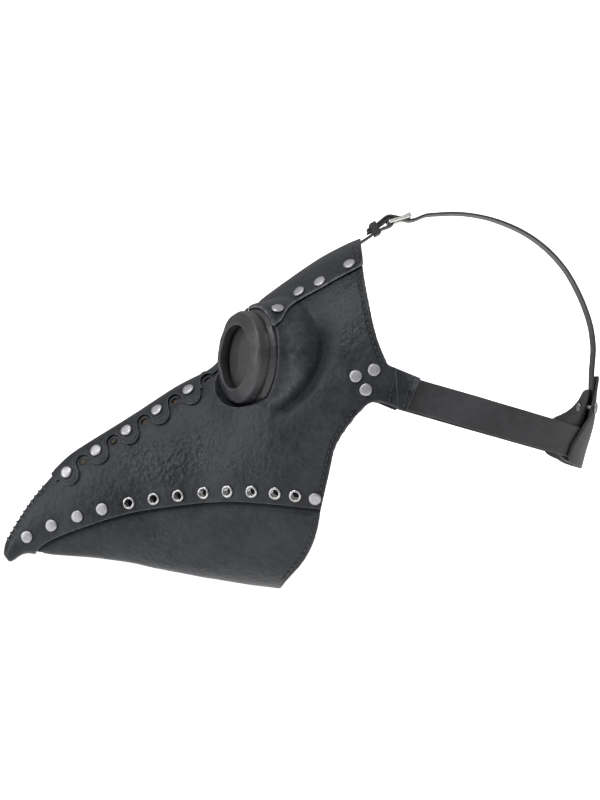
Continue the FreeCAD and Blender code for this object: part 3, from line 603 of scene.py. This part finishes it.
def jaw_shape(co, no, ends):
    """Jaw panel: sunk under the side panels' edge, with a line pressed alongside it."""
    gap = nearest(co, SIDE_EDGE)
    press = 0.35 * falloff(gap, 3) + 0.5 * falloff(gap - 4.6, 0.8)
    return panel_shape(co, no, ends) - away(co) * press[:, None]


def brow_marks(co, no):
    """Wear along the forehead panel's cut edge."""
    uneven = np.clip(0.7 + 0.8 * wave(co, 5, 41, 3), 0, 1)
    return falloff(edge_distance(co, no), 1.5) * uneven * (co[:, 2] < 93), np.zeros(len(co))


def lining_marks(co, no):
    """Painted shade on the outer face, clear of the open edge."""
    outer = np.clip((no * away(co)).sum(1) * 3, 0, 1)
    return 0, outer * np.clip((nearest(co, RIMS) - 7) / 3, 0, 1)


def tab_marks(co, no):
    """Wear on the band past the ear tab's last row of stitches."""
    band = np.clip((co[:, 1] + 0.3 * co[:, 2] - 3.5) / 0.8, 0, 1)
    return band * np.clip(0.45 + 0.5 * wave(co, 4, 61, 3), 0, 1), np.zeros(len(co))


def grooved_edge(co, no, ends):
    """Trim: a line is pressed into its outer face, alongside the cut edge."""
    line = falloff(edge_distance(co, no) - 2.1, 0.55) * np.clip((no * away(co)).sum(1) * 2, 0, 1)
    return panel_shape(co, no, ends, soften=0) - away(co) * 0.4 * line[:, None]


def clear_of_rims(co):
    """0 near the mask's open edge, rising to 1 well inside."""
    return np.clip((nearest(co, RIMS) - 7) / 6, 0, 1)


def side_hit(tree, y, z, side):
    """Point and normal where the piece shows from its own side at (y, z), or None."""
    start = Vector((0.3 * side, y * MM, z * MM))
    point, normal, *_ = tree.ray_cast(start, Vector((-side, 0, 0)), 0.3)
    return (point / MM, normal) if point else None


def tree_of(obj):
    return BVHTree.FromObject(obj, bpy.context.evaluated_depsgraph_get())


def outline(tree, places, side):
    """Points (y, z) of a piece's outline, each on a level line from a y inside to one outside."""
    edge = []
    for z, inner, outer in places:
        for _ in range(14):
            middle = (inner + outer) / 2
            if side_hit(tree, middle, z, side):
                inner = middle
            else:
                outer = middle
        edge.append((inner, z))
    return edge


def back_edge(tree, z_values, side):
    """The rearmost points (y, z) of a piece's outline, one for each height."""
    return outline(tree, [(z, -120.0, 40.0) for z in z_values], side)


def along(path, step):
    """Points a step apart along a polyline of (y, z)."""
    walked, spots, due = 0.0, [], step / 2
    for (y0, z0), (y1, z1) in zip(path, path[1:]):
        length = math.hypot(y1 - y0, z1 - z0)
        while due <= walked + length:
            share = (due - walked) / length
            spots.append(Vector((0, y0 + (y1 - y0) * share, z0 + (z1 - z0) * share)))
            due += step
        walked += length
    return spots


def inset(path, amount):
    """The path moved forwards, square to itself."""
    moved = []
    for k, (y, z) in enumerate(path):
        (y0, z0), (y1, z1) = path[max(k - 1, 0)], path[min(k + 1, len(path) - 1)]
        length = math.hypot(y1 - y0, z1 - z0)
        across = ((z1 - z0) / length, -(y1 - y0) / length)
        if across[0] > 0:
            across = (-across[0], -across[1])
        moved.append((y + across[0] * amount, z + across[1] * amount))
    return moved


CAD_TREES = {name: tree_of(NODES[name]) for name in
             ("side_panel_left", "side_panel_right", "jaw_panel", "forehead_panel")}
RIMS = []
for SIDE, NAME in ((1, "left"), (-1, "right")):
    for NODE, LOW, HIGH in (("side_panel_" + NAME, -78, 106), ("jaw_panel", -138, -82)):
        EDGE = back_edge(CAD_TREES[NODE], np.arange(LOW, HIGH, 1), SIDE)
        RIMS += [side_hit(CAD_TREES[NODE], y - 0.3, z, SIDE)[0] for y, z in EDGE
                 if side_hit(CAD_TREES[NODE], y - 0.3, z, SIDE)]

SEWN_LINES = {}                 # paths (y, z) of the edge stitching, in the side view
SEAMS = []                      # points on them
for SIDE, NAME in ((1, "left"), (-1, "right")):
    SEWN_LINES[NAME] = [
        ("side_leather_" + NAME, CAD_TREES["side_panel_" + NAME], (22, 88), 3.6),
        ("side_leather_" + NAME, CAD_TREES["side_panel_" + NAME], (-77, -11), 3.2),
        ("jaw_leather", CAD_TREES["jaw_panel"], (-134, -84), 3.2)]
    SEWN_LINES[NAME] = [(piece, tree, inset(back_edge(tree, np.arange(*heights, 3), SIDE), gap))
                        for piece, tree, heights, gap in SEWN_LINES[NAME]]
    for PIECE, TREE, PATH in SEWN_LINES[NAME]:
        HITS = [side_hit(TREE, p.y, p.z, SIDE) for p in along(PATH, 1.0)]
        SEAMS += [hit[0] for hit in HITS if hit]

for NAME in ("left", "right"):
    leather_piece("side_leather_" + NAME, "side_panel_" + NAME, HIDE, "shell", 0.75,
                  panel_shape, marks=side_marks)
EDGE_POINTS = []
for NAME in ("left", "right"):
    MESH = bpy.data.objects["side_leather_" + NAME].data
    EDGE_POINTS.append(cut_edge(coords(MESH), normals(MESH)))
SIDE_EDGE = np.concatenate(EDGE_POINTS)


def proud_rim(co, no, ends):
    """Lining: its edge stands a little out of the leather at the mask's open edge."""
    co = panel_shape(co, no, ends)
    near = nearest(co, RIMS)
    rim = falloff(near, 7) * np.clip(1 - np.abs((no * away(co)).sum(1)) * 2, 0, 1)
    push = relax(no * rim[:, None], ends, np.ones(len(co)), 8)
    return co + push * 3.0 - away(co) * 0.15


for NAME in ("left", "right"):
    leather_piece("lining_" + NAME + "_suede", "lining_" + NAME, LINING, "shell", 0.8,
                  proud_rim, marks=lining_marks)

leather_piece("jaw_leather", "jaw_panel", HIDE, "shell", 0.75, jaw_shape,
              marks=jaw_marks)
leather_piece("ridge_leather", "ridge_strip", TRIM, "shell", 0.5, grooved_edge,
              rub_and_highlight=0.7)
leather_piece("forehead_leather", "forehead_panel", TRIM, "shell", 0.6,
              lambda co, no, ends: panel_shape(co, no, ends, soften=0), marks=brow_marks)
for NAME in ("left", "right"):
    for LAYER in ("inner", "outer"):
        leather_piece("ear_tab_%s_%s" % (LAYER, NAME), "strap_tab_%s_%s" % (LAYER, NAME), HIDE,
                      "shell", 0.5, marks=tab_marks)

# ---------------------------------------------------------------- straps


def strap_shape(co, no, ends):
    return co + no * (0.12 * wave(co, 25, 11, 1) + 0.04 * wave(co, 5, 12, 1))[:, None]


for NAME, NODE, BODY in (("side_strap_leather", "side_strap", "harness"),
                         ("back_patch_leather_outer", "back_patch_outer", "harness"),
                         ("back_patch_leather_inner", "back_patch_inner", "harness"),
                         ("forehead_strap_leather", "forehead_strap", "shell"),
                         ("keeper_leather", "keeper_loop", "keeper")):
    leather_piece(NAME, NODE, STRAP, BODY, 0.5, strap_shape, rub_and_highlight=0.5)

TOP = leather_piece("top_strap_leather", "top_strap", STRAP, None, 0.5,
                    strap_shape, rub_and_highlight=0.5)
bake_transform(TOP)

# ---------------------------------------------------------------- metal


def rivet(centre, normal, length, turn):
    """Two-part rivet: a flat cap with a rolled edge, its shank and its tail."""
    profile = [(0, 0.22), (1.6, 0.2), (3.0, 0.1), (3.8, -0.08), (4.2, -0.4), (4.34, -0.8),
               (4.2, -1.15), (1.6, -1.2), (1.6, 0.8 - length), (2.8, 0.75 - length),
               (3.1, 0.4 - length), (2.7, 0.05 - length), (0, -length)]
    uneven = (lambda p: 0.022 * math.sin(3 * math.atan2(p.y, p.x) + turn)
              + 0.012 * math.sin(5 * math.atan2(p.y, p.x) + 2 * turn) if p.z > -1.3 else 0)
    return lathe(profile, 28, centre, normal, wobble=uneven)


def eyelet(centre, normal, length, turn):
    """Rolled eyelet: a bright rim, its barrel, and the flange inside."""
    profile = [(2.7, -1.4), (2.7, -0.3), (2.85, 0.1), (3.2, 0.34), (3.7, 0.3), (4.15, 0.0),
               (4.42, -0.5), (4.3, -0.85), (3.15, -0.95), (3.05, 0.75 - length),
               (3.4, 0.6 - length), (3.5, 0.25 - length), (3.1, -length), (2.75, 0.1 - length),
               (2.7, 0.5 - length)]
    return lathe(profile, 28, centre, normal, closed=True,
                 wobble=lambda p: 0.015 * math.sin(3 * math.atan2(p.y, p.x) + turn))


for NODE, PLACES in SEATS.items():
    MAKE = eyelet if "eyelet" in NODE else rivet
    VERTS, FACES = joined([MAKE(*place, 1.7 * k) for k, place in enumerate(PLACES)])
    PIECE = from_lists(NODE + "_metal", VERTS, FACES, EYELET if "eyelet" in NODE else RIVET,
                       "harness" if NODE == "back_rivets" else "shell",
                       "eyelet_metal" if "eyelet" in NODE else "rivet_metal")
    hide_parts(NODE)

# Dark brown discs close each breathing hole, halfway through the leather, as painted shade in the
# holes.
WALL_MIDDLE = 1.0               # half the thickness of a side panel
SEARCH = 6.0                    # a hole lies within this distance of where it is looked for
HOLE_SHARE = 0.53               # of the way from one ridge rivet to the next


def breathing_hole(tree, guess, side):
    """Centre of the gap in a side panel near a place (y, z), halfway through it, and its normal."""
    steps = np.arange(-SEARCH, SEARCH + 0.1, 0.5)
    spots = [(guess.y + a, guess.z + b) for a in steps for b in steps if math.hypot(a, b) <= SEARCH]
    hits = [side_hit(tree, y, z, side) for y, z in spots]
    y, z = np.mean([spot for spot, hit in zip(spots, hits) if not hit], axis=0)
    around = [hit for hit in hits if hit]
    normal = sum((hit[1] for hit in around), Vector()).normalized()
    surface = sum((hit[0] for hit in around), Vector()) / len(around)
    x = surface.x - (normal.y * (y - surface.y) + normal.z * (z - surface.z)) / normal.x
    return Vector((x - WALL_MIDDLE / normal.x, y, z)), normal


VENT_SHADE_PROFILE = [(0, 0.35), (1.4, 0.33), (2.5, 0.28), (2.64, 0), (2.5, -0.28), (0, -0.35)]
for NAME, SIGN in (("left", 1), ("right", -1)):
    ROW = [place[0] for place in sorted(SEATS["ridge_rivets_" + NAME], key=lambda place: place[0].y)]
    STEPS = [there - here for here, there in zip(ROW, ROW[1:])]
    HOLES = [breathing_hole(CAD_TREES["side_panel_" + NAME], here + HOLE_SHARE * step, SIGN)
             for here, step in zip(ROW, STEPS + STEPS[-1:])]
    from_lists("vent_shade_disc_" + NAME, *joined([lathe(VENT_SHADE_PROFILE, 24, *hole) for hole in HOLES]),
               VENT_SHADE, "shell", "lining")

# ---------------------------------------------------------------- eye pieces

RING_PROFILE = [(22.4, -3.6), (22.4, 0.5), (22.35, 3.0), (22.6, 3.7), (23.2, 3.95), (24.0, 3.7),
                (27, 2.75), (30.2, 1.65), (31.1, 1.15), (31.8, 0.3), (32.2, -0.7), (32.4, -2.2),
                (32.55, -4.5), (32.65, -7.2), (32.2, -7.7), (32.2, -8.3), (32.9, -8.8), (33.1, -9.8),
                (33.9, -10.3), (34.4, -10.9), (34.5, -11.8), (34.4, -12.6), (33.9, -12.9),
                (31, -12.9), (28.4, -12.9), (28.4, -16), (28.4, -18.9), (25.3, -18.9), (25.3, -10),
                (25.3, -3.6)]
LENS_PROFILE = [(0, -3.5), (12, -3.53), (20, -3.6), (24.6, -3.7), (24.9, -4.0), (24.9, -5.2),
                (24.5, -5.5), (12, -5.5), (0, -5.5)]
RETAINER_PROFILE = [(22.7, -5.8), (25.0, -5.8), (25.1, -6.3), (25.1, -7.7), (24.8, -8.1),
                    (23.0, -8.1), (22.6, -7.8), (22.6, -6.1)]
BACKING_PROFILE = [(28.7, -16.7), (30.6, -16.7), (31.0, -17.0), (31.0, -18.2), (30.6, -18.6),
                   (29.0, -18.6), (28.65, -18.2), (28.65, -17.0)]


def cast(verts, size, amount, seed):
    """Slight unevenness of a cast or dipped surface."""
    return [v + v.normalized() * MM * amount * noise.noise(v / MM / size + Vector((seed, 0, 0)))
            for v in verts]


for SIDE in ("left", "right"):
    CENTRE, AXIS = EYES[SIDE]
    for PART, PROFILE, MATERIAL, SLOT in (
            ("eye_ring", RING_PROFILE, RING, "ring_plastic"), ("lens", LENS_PROFILE, LENS, "lens"),
            ("lens_retainer", RETAINER_PROFILE, RING, "ring_plastic"),
            ("eye_backing_ring", BACKING_PROFILE, RING, "ring_plastic")):
        VERTS, FACES = lathe(PROFILE, 128, CENTRE, AXIS, closed=PART != "lens")
        if PART == "eye_ring":
            VERTS = cast(VERTS, 9, 0.5, 3)
        PIECE = from_lists("%s_%s_turned" % (PART, SIDE), VERTS, FACES, MATERIAL, "shell", SLOT)
        CO = coords(PIECE.data)
        RADIUS, DEPTH = from_eye(CO, SIDE)
        # Painted highlight on the ring's front edge and inner lip.
        RING_HIGHLIGHT = falloff(RADIUS - 31.7, 0.5) * (DEPTH < 1) + falloff(RADIUS - 23.2, 0.5) * (DEPTH < -3)
        store(PIECE.data, "rub_and_highlight", np.clip(RING_HIGHLIGHT * (0.6 + 0.5 * wave(CO, 6, 51, 2)), 0, 1))
        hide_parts("%s_%s" % (PART, SIDE))

# ---------------------------------------------------------------- buckle

for NODE in ("buckle_frame", "buckle_prong"):
    MESH = dense(NODE, 0.3)
    CO = relax(coords(MESH), edge_ends(MESH), np.ones(len(MESH.vertices)), 3)
    set_coords(MESH, CO)
    MESH.materials.clear()
    MESH.materials.append(BUCKLE)
    MESH.shade_smooth()
    PIECE = add_object(NODE + "_wire", MESH)
    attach(PIECE, NODE)
    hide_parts(NODE)

# ---------------------------------------------------------------- stitching


def strand(points, radius, taper=True, sides=8):
    """Round thread through points in mm, thin at its ends."""
    verts, faces, count = [], [], len(points)
    for k, p in enumerate(points):
        ahead = points[min(k + 1, count - 1)] - points[max(k - 1, 0)]
        turn = ahead.to_track_quat("Z", "Y").to_matrix()
        share = abs(2 * k / (count - 1) - 1)
        thick = radius * (math.sqrt(max(1 - share ** 4, 0.02)) if taper else 1)
        for j in range(sides):
            a = 2 * math.pi * j / sides
            verts.append((p + turn @ Vector((thick * math.cos(a), thick * math.sin(a), 0))) * MM)
    for k in range(count - 1):
        for j in range(sides):
            i = (j + 1) % sides
            faces.append((k * sides + j, k * sides + i, (k + 1) * sides + i, (k + 1) * sides + j))
    faces.append(tuple(range(sides))[::-1])
    faces.append(tuple((count - 1) * sides + j for j in range(sides)))
    return verts, faces


def stitches(tree, path, side, pitch=4.3, length=3.3, radius=0.55):
    """A row of thread stitches along a path on a piece, seen from its side."""
    spots, pieces = along(path, pitch), []
    for k, spot in enumerate(spots):
        ahead = (spots[min(k + 1, len(spots) - 1)] - spots[max(k - 1, 0)]).normalized()
        points = []
        for share in (-1, -0.8, -0.4, 0, 0.4, 0.8, 1):
            at = spot + ahead * share * length / 2
            hit = side_hit(tree, at.y, at.z, side)
            if not hit:
                break
            points.append(hit[0] + hit[1] * radius * (0.75 - 1.3 * share ** 4))
        if len(points) == 7:
            pieces.append(strand(points, radius))
    return pieces


def lacing(trees, pitch=4.5):
    """Whip stitches over the bare ridge, from the ridge strip's end to the beak's tip."""
    heights = np.arange(-65.5, -108, -1.5)
    inner = np.interp(heights, (-108, -65), (-273, -243))
    path = outline(trees[0], [(z, y, -300) for z, y in zip(heights, inner)], 1)
    inwards, pieces = inset(path, -1.0), []
    third = len(path) // 3
    ahead = Vector((0, inwards[third][0] - path[third][0], inwards[third][1] - path[third][1]))
    for spot in along(path, pitch):
        flanks = []
        for tree, side in zip(trees, (1, -1)):
            hits = [side_hit(tree, spot.y + ahead.y * w, spot.z + ahead.z * w, side)
                    for w in (0.35, 1.2, 2.3, 3.1)]
            if all(hits):
                flanks.append([hit[0] + hit[1] * lift + Vector((0, 0.25 * side, -0.3 * side)) * k
                               for k, (hit, lift) in enumerate(zip(hits, (0.5, 0.5, 0.35, -0.5)))])
        if len(flanks) == 2:
            crown = Vector((0, spot.y - 0.3 * ahead.y, spot.z - 0.3 * ahead.z))
            pieces.append(strand(flanks[0][::-1] + [crown] + flanks[1], 0.62))
    return pieces


LACES = lacing([tree_of(bpy.data.objects["side_leather_" + name]) for name in ("left", "right")])
from_lists("tip_lacing", *joined(LACES), LACE, "shell", "mask_leather")

TAB_ROWS = [[(-6.4, 14.6), (-11.4, -7.0)], [(4.3, 11.2), (-1.8, -10.6)]]

for NAME, SIGN in (("left", 1), ("right", -1)):
    PANEL = tree_of(bpy.data.objects["side_leather_" + NAME])
    BROW = tree_of(bpy.data.objects["forehead_leather"])
    TAB = tree_of(bpy.data.objects["ear_tab_outer_" + NAME])
    CROWN = back_edge(CAD_TREES["forehead_panel"], np.arange(91, 105, 1.5), SIGN)
    SEWN = (stitches(BROW, inset(CROWN, 3.0), SIGN, 3.6, 2.5)
            + stitches(BROW, inset(CROWN, 6.4), SIGN, 3.6, 2.5)
            + stitches(PANEL, TAB_ROWS[0], SIGN, 3.7, 2.8) + stitches(TAB, TAB_ROWS[1], SIGN, 3.7, 2.8))
    for PIECE, TREE, PATH in SEWN_LINES[NAME]:
        SEWN += stitches(tree_of(bpy.data.objects[PIECE]), PATH, SIGN)
    VERTS, FACES = joined(SEWN)
    from_lists("stitching_" + NAME, VERTS, FACES, THREAD, "shell", "mask_leather")

# ---------------------------------------------------------------- camera, floor and light

SCENE = bpy.context.scene
CAMERA = bpy.data.objects.new("camera", bpy.data.cameras.new("camera"))
SCENE.collection.objects.link(CAMERA)
CAMERA.location = (1.5, -0.072, -0.005)
CAMERA.rotation_euler = (math.pi / 2, 0, math.pi / 2)
CAMERA.data.lens = 93.75
CAMERA.data.sensor_width = 36
SCENE.camera = CAMERA


def emissive(name, base, strength):
    """Paper that glows a little, so that it stays pale away from the lamps."""
    material, _, shader, _ = bare(name, base, 0.9)
    shader.inputs["Emission Color"].default_value = (1, 1, 1, 1)
    shader.inputs["Emission Strength"].default_value = strength
    return material


def bowl(name, profile, material):
    """Round stage surface from (radius, height) pairs in metres."""
    verts, faces = lathe([(r / MM, z / MM) for r, z in profile], 64, Vector((0, 0, 0)),
                         Vector((0, 0, 1)))
    mesh = bpy.data.meshes.new(name)
    mesh.from_pydata([tuple(v) for v in verts], [], faces)
    mesh.materials.append(material)
    mesh.shade_smooth()
    obj = add_object(name, mesh)
    return obj


FLOOR_HEIGHT = -0.3
bowl("floor", [(0.001, FLOOR_HEIGHT), (1, FLOOR_HEIGHT), (3.2, FLOOR_HEIGHT)],
     emissive("floor_paper", (0.85, 0.85, 0.85), 0.55))
WALL = bowl("backdrop", [(3.0, FLOOR_HEIGHT + 0.001), (3.15, -0.2), (3.2, 0), (3.2, 3.5)],
            emissive("backdrop_paper", (0.85, 0.85, 0.85), 1.0))
WALL.visible_diffuse = WALL.visible_glossy = WALL.visible_shadow = False

# Soft light: a pale sky, brighter overhead, and three large lamps.
WORLD = bpy.data.worlds.new("studio")
WORLD.use_nodes = True
SKY = WORLD.node_tree
DIRECTION = SKY.nodes.new("ShaderNodeTexCoord").outputs["Generated"]
SPLIT = SKY.nodes.new("ShaderNodeSeparateXYZ")
SKY.links.new(DIRECTION, SPLIT.inputs["Vector"])
BACKGROUND = SKY.nodes["Background"]
BACKGROUND.inputs["Color"].default_value = (1, 1, 1, 1)
SKY.links.new(spread(SKY, SPLIT.outputs["Z"], -0.1, 0.9, 0.2, 0.72), BACKGROUND.inputs["Strength"])
SCENE.world = WORLD


def lamp(name, place, target, size, power):
    data = bpy.data.lights.new(name, "AREA")
    data.shape = "RECTANGLE"
    data.size, data.size_y = size
    data.energy = power
    obj = bpy.data.objects.new(name, data)
    obj.location = place
    obj.rotation_euler = (Vector(target) - Vector(place)).to_track_quat("-Z", "Y").to_euler()
    SCENE.collection.objects.link(obj)


lamp("key", (0.7, -0.7, 1.15), (0, -0.08, 0), (0.5, 0.5), 9)
lamp("front", (0.6, -1.4, 0.3), (0, -0.1, 0), (0.5, 0.8), 9)
lamp("back", (0.2, 1.3, 0.9), (0, 0, 0), (0.8, 0.8), 4)
SCENE.view_settings.view_transform = "Standard"
